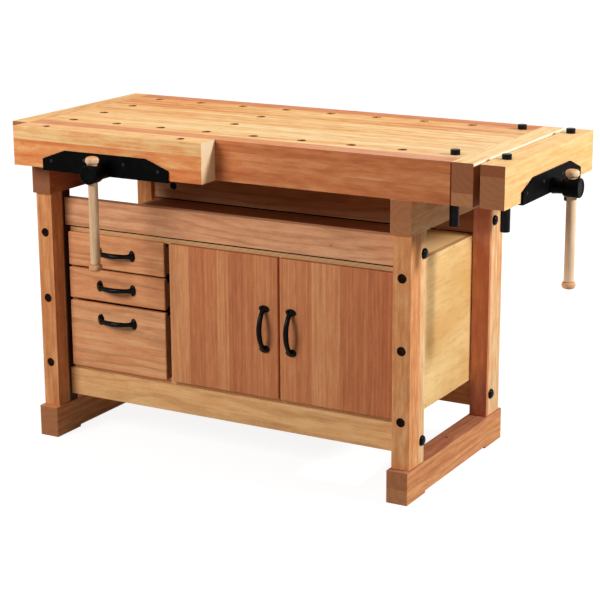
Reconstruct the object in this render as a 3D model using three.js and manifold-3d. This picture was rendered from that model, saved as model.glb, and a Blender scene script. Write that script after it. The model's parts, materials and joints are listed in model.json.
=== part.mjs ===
// Woodworking bench with a front vise, an end vise and a cabinet of drawers and doors.
// Millimetres, +Z up, +X along the bench towards the end vise, the worker stands on the -Y side.
import * as THREE from 'three';
import { mergeVertices } from 'three/addons/utils/BufferGeometryUtils.js';
import Module from 'manifold-3d';

const wasm = await Module();
wasm.setup();

// Clearances
const fit = 0.3;
const runningGap = 0.8;

// Bench top
const benchLength = 1386;
const benchDepth = 594;
const benchHeight = 900;
const edgeHeight = 107;
const slabThickness = 45;
const apronThickness = 56;
const capWidth = 58;

// Dog holes and bench dogs
const dogHoleDiameter = 25;
const dogColumns = 9;
const firstDogInset = 139.5;
const lastDogInset = 91.3;
const frontRowInset = 94;
const backRowInset = 73;
const crossColumns = [0, 3];
const crossHoles = 2;
const dogLength = 193;
const dogRise = 13;
const dogChamfer = 1.5;

// Trestle base
const trestleWidth = 60;
const leftTrestleInset = 60;
const rightTrestleInset = 161.5;
const footHeight = 88;
const footOverhangFront = 10;
const footOverhangRear = 2;
const footPad = 110;
const footRelief = 6;
const bearerHeight = 89;
const legWidth = 50;
const legDepth = 86;
const frontLegInset = 9;
const rearLegInset = 10;
const tenonWidth = 26;
const tenonDepth = 56;
const tenonLength = 35;
const legHoles = 3;
const legHoleDrop = 111.4;
const legHolePitch = 188.5;

// Rails and the bolts that hold them
const railHeight = 78;
const railThickness = 26;
const upperRailDrop = 20.2;
const lowerRailRise = 22.5;
const rearRailSetback = 14.5;
const boltHeadDiameter = 28;
const boltHeadHeight = 9;
const boltShankDiameter = 9;
const boltReach = 78;
const nutHoleDiameter = 24;
const nutHoleDepth = 20;
const nutHoleInset = 70;

// Vises
const frontJawLength = 604;
const frontJawThickness = 66;
const endJawThickness = 64;
const endViseOpening = 17;
const endHoleShift = 4;
const plateEdge = 36;
const plateSlope = 71;
const plateHeight = 58;
const plateArmHeight = 31.5;
const plateThickness = 6;
const plateDrop = 5;
const plateLip = 8;
const guideDiameter = 18;
const frontGuideSpacing = 330;
const guideInset = 44;
const guideRise = 19;
const guideLength = 360;
const weldDepth = 2;
const screwDiameter = 20;
const screwClearance = 0.5;
const screwLength = 350;
const neckDiameter = 35;
const neckLength = 29;
const headDiameter = 51;
const headLength = 45;
const headChamfer = 3;
const headShoulder = 8;
const handleDiameter = 26;
const handleSpan = 267.5;
const handleInset = 24;
const knobDiameter = 36;
const knobHeight = 20;
const nutEdge = 11;
const nutThickness = 30;
const nutDrop = 6;

// Cabinet
const panelThickness = 16;
const backThickness = 6;
const carcassSetback = 6.5;
const carcassGapLeft = 12;
const carcassGapRight = 2.2;
const carcassGapTop = 4.5;
const drawerBayWidth = 311;
const dividerSetback = 20;
const frontThickness = 15;

// Drawers, counted from the top: the two upper fronts have a height, the lowest fills what is left
const topDrawerFront = 96;
const middleDrawerFront = 88.5;
const topDrawerGap = 5.5;
const middleDrawerGap = 8;
const drawerFrontMargin = 2;
const drawerFrontInset = 4;
const drawerWall = 10;
const drawerSideGap = 6;
const drawerBackGap = 63;
const drawerBoxDrop = 14;
const drawerBoxLift = 5.5;
const runnerHeight = 10;
const runnerWidth = 12;

// Doors
const doorGap = 5;
const doorLeftMargin = 12;
const doorRightMargin = 14.3;
const frontOverlay = 4.8;

// Pulls
const pullSpacing = 110;
const pullReach = 33;
const pullThickness = 14;
const rosetteAcross = 32;
const rosetteAlong = 20;
const rosetteThickness = 4;
const topPullDrop = 48;
const lowerPullDrop = 44;
const leftPullInset = 41.5;
const rightPullInset = 35;
const doorPullDrop = 3.3;

// Facets of round pieces
const holeSides = 20;
const shaftSides = 24;
const boltSides = 14;
const pullSides = 8;
const pullSteps = 16;

// Places worked out from the sizes above
const edgeBottom = benchHeight - edgeHeight;
const slabBottom = benchHeight - slabThickness;
const dogPitch = (benchLength - firstDogInset - lastDogInset) / (dogColumns - 1);
const frontRowY = frontRowInset;
const backRowY = benchDepth - backRowInset;
const frontViseX = (dogX(crossColumns[0]) + dogX(crossColumns[1])) / 2;
const screwRise = screwDiameter / 2 + screwClearance;
const guideSpacings = {
  front: frontGuideSpacing,
  end: benchDepth - 2 * (frontRowY + guideInset),
};
const leftTrestleX = leftTrestleInset;
const rightTrestleX = benchLength - rightTrestleInset - trestleWidth;
const trestleXs = { left: leftTrestleX, right: rightTrestleX };
const legInsetX = (trestleWidth - legWidth) / 2;
const bearerTop = edgeBottom - fit;
const bearerBottom = bearerTop - bearerHeight;
const legTop = bearerBottom - fit;
const legBottom = footHeight + fit;
const legFrontYs = {
  front: frontLegInset,
  rear: benchDepth - rearLegInset - legDepth,
};
const railLeftX = leftTrestleX + legInsetX + legWidth + fit;
const railRightX = rightTrestleX + legInsetX - fit;
const railFrontYs = {
  front: legFrontYs.front + legDepth - railThickness,
  rear: legFrontYs.rear + rearRailSetback,
};
const railZs = {
  upper: bearerBottom - upperRailDrop - railHeight,
  lower: footHeight + lowerRailRise,
};
const carcassLeftX = leftTrestleX + legInsetX + legWidth + carcassGapLeft;
const carcassRightX = rightTrestleX + legInsetX - carcassGapRight;
const carcassFrontY = railFrontYs.front + carcassSetback;
const carcassBackY = railFrontYs.rear + railThickness;
const carcassTop = railZs.upper - carcassGapTop;
const carcassBottom = railZs.lower + railHeight + fit;
const bayTop = carcassTop - panelThickness;
const bayBottom = carcassBottom + panelThickness;
const bayLeftX = carcassLeftX + panelThickness;
const bayRightX = carcassRightX - panelThickness;
const dividerX = bayLeftX + drawerBayWidth;
const frontsTop = bayTop + frontOverlay;
const frontsBottom = bayBottom - frontOverlay;
const frontsBackY = carcassFrontY - fit;
const frontsFaceY = frontsBackY - frontThickness;
const lowestDrawerFront = frontsTop - frontsBottom - topDrawerFront - middleDrawerFront
  - topDrawerGap - middleDrawerGap;
const drawerFrontHeights = [topDrawerFront, middleDrawerFront, lowestDrawerFront];
const drawerFrontGaps = [topDrawerGap, middleDrawerGap];
const drawerPullDrops = [topPullDrop, lowerPullDrop, lowerPullDrop];
const drawerBackY = carcassBackY - backThickness - drawerBackGap;
const hubLength = neckLength + headLength + fit;
const viseReach = hubLength + Math.max(0, knobDiameter / 2 - handleInset);
const overallLength = benchLength + endViseOpening + endJawThickness + plateThickness + fit + viseReach;
const overallFront = -(frontJawThickness + 2 * fit + plateThickness + viseReach);
const overallBack = benchDepth + footOverhangRear;

// Materials
const oiledBeech = new THREE.MeshStandardMaterial({ color: 0xb9713f, roughness: 0.5, metalness: 0 });
const paleBeech = new THREE.MeshStandardMaterial({ color: 0xd0a274, roughness: 0.55, metalness: 0 });
const birchPly = new THREE.MeshStandardMaterial({ color: 0xd9b578, roughness: 0.6, metalness: 0 });
const blackSteel = new THREE.MeshStandardMaterial({ color: 0x17181a, roughness: 0.45, metalness: 0.7 });

// A closed solid from a geometry, with coincident corners merged and empty triangles dropped
function solidOf(geometry) {
  const plain = geometry.clone();
  plain.deleteAttribute('normal');
  plain.deleteAttribute('uv');
  const merged = mergeVertices(plain, 1e-4);
  const corners = merged.index.array;
  const kept = [];
  for (let i = 0; i < corners.length; i += 3) {
    const [a, b, c] = [corners[i], corners[i + 1], corners[i + 2]];
    if (a !== b && b !== c && c !== a) kept.push(a, b, c);
  }
  return new wasm.Manifold(new wasm.Mesh({
    numProp: 3,
    vertProperties: new Float32Array(merged.attributes.position.array),
    triVerts: new Uint32Array(kept),
  }));
}

function geometryOf(solid) {
  const mesh = solid.getMesh();
  const geometry = new THREE.BufferGeometry();
  geometry.setAttribute('position', new THREE.BufferAttribute(mesh.vertProperties, 3));
  geometry.setIndex(new THREE.BufferAttribute(mesh.triVerts, 1));
  geometry.computeVertexNormals();
  return geometry;
}

function joined(...geometries) {
  return geometryOf(geometries.map(solidOf).reduce((whole, piece) => whole.add(piece)));
}

function cut(geometry, ...tools) {
  return geometryOf(tools.map(solidOf).reduce((whole, tool) => whole.subtract(tool), solidOf(geometry)));
}

function named(name, geometry, material) {
  const mesh = new THREE.Mesh(geometry, material);
  mesh.name = name;
  return mesh;
}

// A box between two corners
function block(low, high) {
  const [width, depth, height] = high.map((value, i) => value - low[i]);
  const box = new THREE.BoxGeometry(width, depth, height);
  box.translate(low[0] + width / 2, low[1] + depth / 2, low[2] + height / 2);
  return box;
}

// A round bar that starts at a point and runs along one axis
function bar(axis, diameter, start, length, sides = shaftSides) {
  const cylinder = new THREE.CylinderGeometry(diameter / 2, diameter / 2, length, sides);
  cylinder.translate(0, length / 2, 0);
  if (axis === 'x') cylinder.rotateZ(-Math.PI / 2);
  if (axis === 'z') cylinder.rotateX(Math.PI / 2);
  cylinder.translate(...start);
  return cylinder;
}

// A turned piece from radius and height pairs, standing on the XY plane
function turned(profile, sides) {
  const outline = profile.map(([radius, height]) => new THREE.Vector2(radius, height));
  const lathe = new THREE.LatheGeometry(outline, sides);
  lathe.rotateX(Math.PI / 2);
  return geometryOf(solidOf(lathe));
}

// Dog holes: one row at the front, one at the back and two cross columns between them
function dogX(column) {
  return firstDogInset + column * dogPitch;
}

function crossRowY(row) {
  return frontRowY + (backRowY - frontRowY) * row / (crossHoles + 1);
}

function dogHole(x, y, bottom, height) {
  return bar('z', dogHoleDiameter, [x, y, bottom - 1], height + 2, holeSides);
}

function slabHolePlaces() {
  const places = [];
  for (let column = 0; column < dogColumns; column += 1) {
    places.push([dogX(column), frontRowY], [dogX(column), backRowY]);
  }
  for (const column of crossColumns) {
    for (let row = 1; row <= crossHoles; row += 1) places.push([dogX(column), crossRowY(row)]);
  }
  return places;
}

function makeTopSlab() {
  const low = [capWidth + fit, apronThickness + fit, slabBottom];
  const high = [benchLength - capWidth - fit, benchDepth - apronThickness - fit, benchHeight];
  const holes = slabHolePlaces().map(([x, y]) => dogHole(x, y, slabBottom, slabThickness));
  return named('top_slab', cut(block(low, high), ...holes), oiledBeech);
}

// Openings for a vise's screw and guides, in the vise's own frame: the screw runs in a slot that is
// open below, and each guide in a round hole
function viseOpenings(vise, fromY, toY) {
  const slotWidth = screwDiameter + 2 * fit;
  const length = toY - fromY;
  const slot = block([-slotWidth / 2, fromY, -1], [slotWidth / 2, toY, screwRise]);
  const crown = bar('y', slotWidth, [0, fromY, screwRise], length);
  const guides = [-1, 1].map((side) => (
    bar('y', guideDiameter + 2 * fit, [side * guideSpacings[vise] / 2, fromY, guideRise], length)));
  return [slot, crown, ...guides];
}

// The vises stand on the bench's front edge and on its right end
const viseFrames = {
  front: new THREE.Matrix4().makeTranslation(frontViseX, 0, edgeBottom),
  end: new THREE.Matrix4().makeRotationZ(Math.PI / 2).setPosition(benchLength, benchDepth / 2, edgeBottom),
};

function openingsInBench(vise, depth) {
  return viseOpenings(vise, -1, depth + 1).map((tool) => tool.applyMatrix4(viseFrames[vise]));
}

function makeFrontApron() {
  const low = [capWidth + fit, 0, edgeBottom];
  const high = [benchLength - capWidth - fit, apronThickness, benchHeight];
  return named('front_apron', cut(block(low, high), ...openingsInBench('front', apronThickness)), oiledBeech);
}

function makeRearApron() {
  const low = [capWidth + fit, benchDepth - apronThickness, edgeBottom];
  const high = [benchLength - capWidth - fit, benchDepth, benchHeight];
  return named('rear_apron', block(low, high), oiledBeech);
}

function makeLeftCap() {
  return named('left_end_cap', block([0, 0, edgeBottom], [capWidth, benchDepth, benchHeight]), oiledBeech);
}

function makeRightCap() {
  const cap = block([benchLength - capWidth, 0, edgeBottom], [benchLength, benchDepth, benchHeight]);
  return named('right_end_cap', cut(cap, ...openingsInBench('end', capWidth)), oiledBeech);
}

function makeBenchTop() {
  const top = new THREE.Group();
  top.add(makeTopSlab(), makeFrontApron(), makeRearApron(), makeLeftCap(), makeRightCap());
  return top;
}

// A round steel dog with its top and bottom edges eased
function makeDog(name) {
  const radius = dogHoleDiameter / 2 - fit;
  const profile = [
    [0, 0], [radius - dogChamfer, 0], [radius, dogChamfer],
    [radius, dogLength - dogChamfer], [radius - dogChamfer, dogLength], [0, dogLength],
  ];
  return named(name, turned(profile, holeSides), blackSteel);
}

function makeTopDogs() {
  const dogs = new THREE.Group();
  for (const [place, y] of [['front', frontRowY], ['rear', backRowY]]) {
    const dog = makeDog(`top_dog_${place}`);
    dog.position.set(dogX(dogColumns - 1), y, benchHeight + dogRise - dogLength);
    dogs.add(dog);
  }
  return dogs;
}

// Legs stand in blind mortises in the foot and the bearer
function tenonCentreY(place) {
  return legFrontYs[place] + legDepth / 2;
}

function tenonBlock(x, place, bottom, height, clearance) {
  const middleX = x + trestleWidth / 2;
  const middleY = tenonCentreY(place);
  const halfWidth = tenonWidth / 2 + clearance;
  const halfDepth = tenonDepth / 2 + clearance;
  return block(
    [middleX - halfWidth, middleY - halfDepth, bottom],
    [middleX + halfWidth, middleY + halfDepth, bottom + height]);
}

function makeFoot(side) {
  const x = trestleXs[side];
  const front = -footOverhangFront;
  const back = benchDepth + footOverhangRear;
  const depth = tenonLength + runningGap;
  const relief = block([x - 1, front + footPad, -1], [x + trestleWidth + 1, back - footPad, footRelief]);
  const mortises = ['front', 'rear'].map((place) => tenonBlock(x, place, footHeight - depth, depth + 1, fit));
  const foot = block([x, front, 0], [x + trestleWidth, back, footHeight]);
  return named(`${side}_foot`, cut(foot, relief, ...mortises), oiledBeech);
}

function makeBearer(side) {
  const x = trestleXs[side];
  const depth = tenonLength + runningGap;
  const mortises = ['front', 'rear'].map((place) => tenonBlock(x, place, bearerBottom - 1, depth + 1, fit));
  const bearer = block([x, 0, bearerBottom], [x + trestleWidth, benchDepth, bearerTop]);
  return named(`${side}_bearer`, cut(bearer, ...mortises), oiledBeech);
}

function boltCentre(place, level) {
  return [railFrontYs[place] + railThickness / 2, railZs[level] + railHeight / 2];
}

// The front legs have dog holes too, from front to back, for pegs under a long workpiece
function legDogHoles(x, y) {
  return Array.from({ length: legHoles }, (_, hole) => {
    const z = legTop - legHoleDrop - hole * legHolePitch;
    return bar('y', dogHoleDiameter, [x + legWidth / 2, y - 1, z], legDepth + 2, holeSides);
  });
}

function makeLeg(side, place) {
  const x = trestleXs[side] + legInsetX;
  const y = legFrontYs[place];
  const post = block([x, y, legBottom], [x + legWidth, y + legDepth, legTop]);
  const lowTenon = tenonBlock(trestleXs[side], place, legBottom - tenonLength, tenonLength + 1, 0);
  const highTenon = tenonBlock(trestleXs[side], place, legTop - 1, tenonLength + 1, 0);
  const holes = ['upper', 'lower'].map((level) => (
    bar('x', boltShankDiameter + 2 * fit, [x - 1, ...boltCentre(place, level)], legWidth + 2, boltSides)));
  if (place === 'front') holes.push(...legDogHoles(x, y));
  return named(`${side}_${place}_leg`, cut(joined(post, lowTenon, highTenon), ...holes), oiledBeech);
}

// A rail with a bolt hole in each end, and beside it a blind hole in the inner face for the bolt's nut
function makeRail(place, level) {
  const y = railFrontYs[place];
  const z = railZs[level];
  const rail = block([railLeftX, y, z], [railRightX, y + railThickness, z + railHeight]);
  const depth = boltReach + runningGap;
  const holes = [railLeftX - 1, railRightX - depth].map((start) => (
    bar('x', boltShankDiameter + 2 * fit, [start, ...boltCentre(place, level)], depth + 1, boltSides)));
  const [, boltZ] = boltCentre(place, level);
  const nutY = place === 'front' ? y + railThickness - nutHoleDepth : y - 1;
  const nutHoles = [railLeftX + nutHoleInset, railRightX - nutHoleInset].map((x) => (
    bar('y', nutHoleDiameter, [x, nutY, boltZ], nutHoleDepth + 1, holeSides)));
  return named(`${place}_${level}_rail`, cut(rail, ...holes, ...nutHoles), oiledBeech);
}

// A domed bolt through a leg's outer face into the end of a rail
function makeBolt(side, place, level) {
  const shankLength = legWidth + 2 * fit + boltReach;
  const radius = boltHeadDiameter / 2;
  const profile = [
    [0, -shankLength], [boltShankDiameter / 2, -shankLength], [boltShankDiameter / 2, fit], [radius, fit],
    [radius, boltHeadHeight * 0.3], [radius * 0.75, boltHeadHeight * 0.8], [radius * 0.35, boltHeadHeight],
    [0, boltHeadHeight],
  ];
  const outward = side === 'right' ? 1 : -1;
  const bolt = named(`${side}_${place}_${level}_bolt`, turned(profile, boltSides), blackSteel);
  const legX = trestleXs[side] + legInsetX + (side === 'right' ? legWidth : 0);
  bolt.position.set(legX, ...boltCentre(place, level));
  bolt.rotation.y = outward * Math.PI / 2;
  return bolt;
}

function makeBase() {
  const base = new THREE.Group();
  for (const side of ['left', 'right']) {
    base.add(makeFoot(side), makeBearer(side));
    for (const place of ['front', 'rear']) {
      base.add(makeLeg(side, place));
      for (const level of ['upper', 'lower']) base.add(makeBolt(side, place, level));
    }
  }
  for (const place of ['front', 'rear']) {
    for (const level of ['upper', 'lower']) base.add(makeRail(place, level));
  }
  return base;
}

// One vise in its own frame: the jaw opens towards -Y, the bench's edge is the XZ plane and z is 0 at
// the edge's bottom
function makeJaw(vise, left, right, faceY, thickness, holePlaces, holeY) {
  const jaw = block([left, faceY - thickness, 0], [right, faceY, edgeHeight]);
  const holes = holePlaces.map((x) => dogHole(x, holeY, 0, edgeHeight));
  const tools = [...holes, ...viseOpenings(vise, faceY - thickness - 1, faceY + 1)];
  return named(`${vise}_jaw`, cut(jaw, ...tools), oiledBeech);
}

// The steel plate on the jaw's outer face, with a lip under the jaw and its two guides welded on
function makePlate(vise, faceY) {
  const half = guideSpacings[vise] / 2 + plateEdge;
  const topHalf = half - plateSlope;
  const outline = new THREE.Shape([
    new THREE.Vector2(-half, 0), new THREE.Vector2(half, 0), new THREE.Vector2(half, plateArmHeight),
    new THREE.Vector2(topHalf, plateHeight), new THREE.Vector2(-topHalf, plateHeight),
    new THREE.Vector2(-half, plateArmHeight),
  ]);
  const plate = new THREE.ExtrudeGeometry(outline, { depth: plateThickness, bevelEnabled: false });
  plate.rotateX(Math.PI / 2);
  plate.translate(0, faceY, -plateDrop);
  const lip = block([-half, faceY - plateThickness, -plateDrop], [half, faceY + plateLip, -fit]);
  const guides = [-1, 1].map((side) => (
    bar('y', guideDiameter, [side * guideSpacings[vise] / 2, faceY - weldDepth, guideRise],
      guideLength + weldDepth)));
  const boreStart = [0, faceY - plateThickness - 1, screwRise];
  const bore = bar('y', screwDiameter + 2 * fit, boreStart, plateThickness + 2);
  return named(`${vise}_plate`, cut(joined(plate, lip, ...guides), bore), blackSteel);
}

// The screw with its neck and head in one piece, turned about Y, and the handle's hole through the head
function makeScrew(vise, plateFaceY) {
  const hubBack = -fit;
  const headBack = hubBack - neckLength;
  const headFront = headBack - headLength;
  const radius = headDiameter / 2;
  const profile = [
    [0, headFront], [radius - headChamfer, headFront], [radius, headFront + headChamfer],
    [radius, headBack - headShoulder], [neckDiameter / 2, headBack], [neckDiameter / 2, hubBack],
    [screwDiameter / 2, hubBack], [screwDiameter / 2, screwLength], [0, screwLength],
  ];
  const screw = turned(profile, shaftSides);
  screw.rotateX(-Math.PI / 2);
  const holeStart = [0, headFront + handleInset, -headDiameter];
  const hole = bar('z', handleDiameter + 2 * fit, holeStart, 2 * headDiameter);
  const mesh = named(`${vise}_screw`, cut(screw, hole), blackSteel);
  mesh.position.set(0, plateFaceY, screwRise);
  return mesh;
}

// A wooden handle that hangs through the head on its upper knob
function makeHandle(vise, plateFaceY) {
  const shaft = handleDiameter / 2;
  const knob = knobDiameter / 2;
  const knobProfile = [
    [knob * 0.86, 0], [knob * 0.97, knobHeight * 0.2], [knob, knobHeight * 0.45],
    [knob * 0.95, knobHeight * 0.75], [knob * 0.74, knobHeight],
  ];
  const shoulder = knobProfile.map(([radius, height]) => [radius, knobHeight + handleSpan + height]);
  const foot = knobProfile.map(([radius, height]) => [radius, knobHeight - height]).reverse();
  const length = 2 * knobHeight + handleSpan;
  const profile = [
    [0, 0], ...foot, [shaft, knobHeight], [shaft, knobHeight + handleSpan], ...shoulder, [0, length],
  ];
  const mesh = named(`${vise}_handle`, turned(profile, shaftSides), paleBeech);
  const seat = screwRise + headDiameter / 2 + fit;
  mesh.position.set(0, plateFaceY - hubLength + handleInset, seat - handleSpan - knobHeight);
  return mesh;
}

// The nut block under the top, which the screw runs in and the guides slide through
function makeNut(vise, seatY) {
  const top = edgeHeight - slabThickness - fit;
  const half = (guideSpacings[vise] + guideDiameter) / 2 + nutEdge;
  const nut = block([-half, seatY, -nutDrop], [half, seatY + nutThickness, top]);
  const from = seatY - 1;
  const length = nutThickness + 2;
  const bores = [-1, 1].map((side) => (
    bar('y', guideDiameter + 2 * fit, [side * guideSpacings[vise] / 2, from, guideRise], length)));
  const thread = bar('y', screwDiameter + 2 * fit, [0, from, screwRise], length);
  return named(`${vise}_nut`, cut(nut, ...bores, thread), blackSteel);
}

function makeVise(vise, jaw, faceY, thickness, seatY) {
  const group = new THREE.Group();
  const plateBackY = faceY - thickness - fit;
  const plateFaceY = plateBackY - plateThickness;
  group.add(jaw, makePlate(vise, plateBackY), makeScrew(vise, plateFaceY));
  group.add(makeHandle(vise, plateFaceY), makeNut(vise, seatY));
  group.applyMatrix4(viseFrames[vise]);
  return group;
}

function makeFrontVise() {
  const faceY = -fit;
  const half = frontJawLength / 2;
  const holePlaces = crossColumns.map((column) => dogX(column) - frontViseX);
  const holeY = faceY - frontJawThickness / 2;
  const jaw = makeJaw('front', -half, half, faceY, frontJawThickness, holePlaces, holeY);
  return makeVise('front', jaw, faceY, frontJawThickness, apronThickness + fit);
}

function makeEndVise() {
  const faceY = -endViseOpening;
  const half = benchDepth / 2;
  const holePlaces = [frontRowY - half, backRowY - half];
  const holeY = faceY - endJawThickness / 2 + endHoleShift;
  const jaw = makeJaw('end', -half, half, faceY, endJawThickness, holePlaces, holeY);
  const vise = makeVise('end', jaw, faceY, endJawThickness, capWidth + fit);
  ['front', 'rear'].forEach((place, i) => {
    const dog = makeDog(`jaw_dog_${place}`);
    dog.position.set(holePlaces[i], holeY, edgeHeight + dogRise - dogLength);
    vise.add(dog);
  });
  return vise;
}

// Drawer places, counted from the top
function drawerFrontSpan(index) {
  let top = frontsTop;
  for (let i = 0; i < index; i += 1) top -= drawerFrontHeights[i] + drawerFrontGaps[i];
  return { bottom: top - drawerFrontHeights[index], top };
}

function drawerBoxSpan(index) {
  const { bottom, top } = drawerFrontSpan(index);
  const last = index === drawerFrontHeights.length - 1;
  return { bottom: last ? bayBottom + fit : bottom + drawerBoxLift, top: top - drawerBoxDrop };
}

// A side of the drawer bay, with the runners that carry the upper drawers glued on
function withRunners(panel, faceX, inward) {
  const [nearX, farX] = inward > 0 ? [faceX - 1, faceX + runnerWidth] : [faceX - runnerWidth, faceX + 1];
  const runners = [0, 1].map((index) => {
    const top = drawerBoxSpan(index).bottom - fit;
    return block(
      [nearX, carcassFrontY + dividerSetback, top - runnerHeight],
      [farX, drawerBackY, top]);
  });
  return joined(panel, ...runners);
}

function makeCarcassSides() {
  const left = block([carcassLeftX, carcassFrontY, carcassBottom], [bayLeftX, carcassBackY, carcassTop]);
  const right = block([bayRightX, carcassFrontY, carcassBottom], [carcassRightX, carcassBackY, carcassTop]);
  return [
    named('cabinet_left_side', withRunners(left, bayLeftX, 1), birchPly),
    named('cabinet_right_side', right, birchPly),
  ];
}

function makeCarcassShelves() {
  const leftX = bayLeftX + fit;
  const rightX = bayRightX - fit;
  const top = block([leftX, carcassFrontY, bayTop], [rightX, carcassBackY, carcassTop]);
  const bottom = block([leftX, carcassFrontY, carcassBottom], [rightX, carcassBackY, bayBottom]);
  return [named('cabinet_top', top, birchPly), named('cabinet_bottom', bottom, birchPly)];
}

function makeDivider() {
  const backY = carcassBackY - backThickness - fit;
  const divider = block(
    [dividerX, carcassFrontY + dividerSetback, bayBottom + fit],
    [dividerX + panelThickness, backY, bayTop - fit]);
  return named('cabinet_divider', withRunners(divider, dividerX, -1), birchPly);
}

function makeCarcassBack() {
  const low = [bayLeftX + fit, carcassBackY - backThickness, bayBottom + fit];
  const high = [bayRightX - fit, carcassBackY, bayTop - fit];
  return named('cabinet_back', block(low, high), birchPly);
}

// A bow pull with an oval rosette at each end, lying along X and standing out towards -Y
function makePull(name) {
  const half = pullSpacing / 2;
  const bowY = rosetteThickness - pullReach;
  const path = new THREE.CatmullRomCurve3([
    new THREE.Vector3(-half, -rosetteThickness * 0.75, 0),
    new THREE.Vector3(-half * 0.97, bowY * 0.3, 0),
    new THREE.Vector3(-half * 0.76, bowY * 0.56, 0),
    new THREE.Vector3(-half * 0.36, bowY * 0.95, 0),
    new THREE.Vector3(half * 0.36, bowY * 0.95, 0),
    new THREE.Vector3(half * 0.76, bowY * 0.56, 0),
    new THREE.Vector3(half * 0.97, bowY * 0.3, 0),
    new THREE.Vector3(half, -rosetteThickness * 0.75, 0),
  ]);
  const section = new THREE.Shape();
  for (let side = 0; side < pullSides; side += 1) {
    const angle = side * 2 * Math.PI / pullSides;
    const point = [pullThickness / 2 * Math.cos(angle), pullThickness / 2 * Math.sin(angle)];
    if (side === 0) section.moveTo(...point);
    else section.lineTo(...point);
  }
  section.closePath();
  const bow = new THREE.ExtrudeGeometry(section, { steps: pullSteps, extrudePath: path });
  const rosettes = [-half, half].map((x) => {
    const oval = bar('y', rosetteAcross, [0, -rosetteThickness, 0], rosetteThickness, holeSides);
    oval.scale(rosetteAlong / rosetteAcross, 1, 1);
    oval.translate(x, 0, 0);
    return oval;
  });
  return named(name, joined(bow, ...rosettes), blackSteel);
}

// A tray open at the top, with four walls and a bottom
function makeDrawerBox(index) {
  const { bottom, top } = drawerBoxSpan(index);
  const leftX = bayLeftX + drawerSideGap;
  const rightX = dividerX - drawerSideGap;
  const outside = block([leftX, carcassFrontY, bottom], [rightX, drawerBackY, top]);
  const inside = block(
    [leftX + drawerWall, carcassFrontY + drawerWall, bottom + drawerWall],
    [rightX - drawerWall, drawerBackY - drawerWall, top + 1]);
  return cut(outside, inside);
}

function makeDrawer(index) {
  const drawer = new THREE.Group();
  const number = index + 1;
  const { bottom, top } = drawerFrontSpan(index);
  const leftX = carcassLeftX + drawerFrontMargin;
  const rightX = dividerX - drawerFrontInset;
  const front = block([leftX, frontsFaceY, bottom], [rightX, frontsBackY, top]);
  const pull = makePull(`drawer_${number}_pull`);
  pull.position.set((leftX + rightX) / 2, frontsFaceY - fit, top - drawerPullDrops[index]);
  drawer.add(
    named(`drawer_${number}_front`, front, oiledBeech),
    named(`drawer_${number}_box`, makeDrawerBox(index), birchPly),
    pull);
  return drawer;
}

function makeDoors() {
  const doors = new THREE.Group();
  const leftEdge = dividerX + doorLeftMargin;
  const rightEdge = carcassRightX - doorRightMargin;
  const doorWidth = (rightEdge - leftEdge - doorGap) / 2;
  const places = {
    left: { x: leftEdge, pullX: leftEdge + doorWidth - leftPullInset },
    right: { x: rightEdge - doorWidth, pullX: rightEdge - doorWidth + rightPullInset },
  };
  for (const [side, { x, pullX }] of Object.entries(places)) {
    const door = block([x, frontsFaceY, frontsBottom], [x + doorWidth, frontsBackY, frontsTop]);
    const pull = makePull(`${side}_door_pull`);
    pull.rotation.y = Math.PI / 2;
    pull.position.set(pullX, frontsFaceY - fit, (frontsBottom + frontsTop) / 2 - doorPullDrop);
    doors.add(named(`${side}_door`, door, oiledBeech), pull);
  }
  return doors;
}

function makeCabinet() {
  const cabinet = new THREE.Group();
  cabinet.add(...makeCarcassSides(), ...makeCarcassShelves(), makeDivider(), makeCarcassBack());
  drawerFrontHeights.forEach((_, index) => cabinet.add(makeDrawer(index)));
  cabinet.add(makeDoors());
  return cabinet;
}

// The whole bench, with its origin on the floor below the middle of its bounding box
const bench = new THREE.Group();
bench.add(makeBenchTop(), makeTopDogs(), makeBase(), makeFrontVise(), makeEndVise(), makeCabinet());
bench.position.set(-overallLength / 2, -(overallFront + overallBack) / 2, 0);

export default bench;
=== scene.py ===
import json
import math
import bmesh
import bpy
import numpy as np
from mathutils import Matrix, Vector

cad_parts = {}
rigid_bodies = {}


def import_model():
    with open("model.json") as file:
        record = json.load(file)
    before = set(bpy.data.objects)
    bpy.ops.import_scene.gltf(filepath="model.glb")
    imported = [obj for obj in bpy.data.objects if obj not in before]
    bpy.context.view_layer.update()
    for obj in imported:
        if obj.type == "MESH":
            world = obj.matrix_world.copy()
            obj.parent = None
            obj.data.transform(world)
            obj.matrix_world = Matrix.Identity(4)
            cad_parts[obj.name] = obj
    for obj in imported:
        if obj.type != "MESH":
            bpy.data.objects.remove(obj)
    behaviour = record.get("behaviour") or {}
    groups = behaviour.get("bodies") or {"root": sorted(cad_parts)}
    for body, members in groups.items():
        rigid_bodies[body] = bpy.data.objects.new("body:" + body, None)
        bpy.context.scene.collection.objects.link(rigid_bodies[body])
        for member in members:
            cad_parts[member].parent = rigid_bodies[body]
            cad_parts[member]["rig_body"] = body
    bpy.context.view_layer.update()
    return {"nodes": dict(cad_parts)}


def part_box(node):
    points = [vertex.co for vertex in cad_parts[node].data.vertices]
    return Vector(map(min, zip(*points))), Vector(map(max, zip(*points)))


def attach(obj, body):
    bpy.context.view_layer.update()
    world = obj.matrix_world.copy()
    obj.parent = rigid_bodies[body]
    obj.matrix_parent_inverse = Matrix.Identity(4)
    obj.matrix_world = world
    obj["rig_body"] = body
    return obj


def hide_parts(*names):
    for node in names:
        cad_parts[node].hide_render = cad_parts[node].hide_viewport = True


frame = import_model()
nodes = frame["nodes"]
print("bench loaded with", len(nodes), "nodes")
xAxis, yAxis, zAxis = 0, 1, 2


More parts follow.
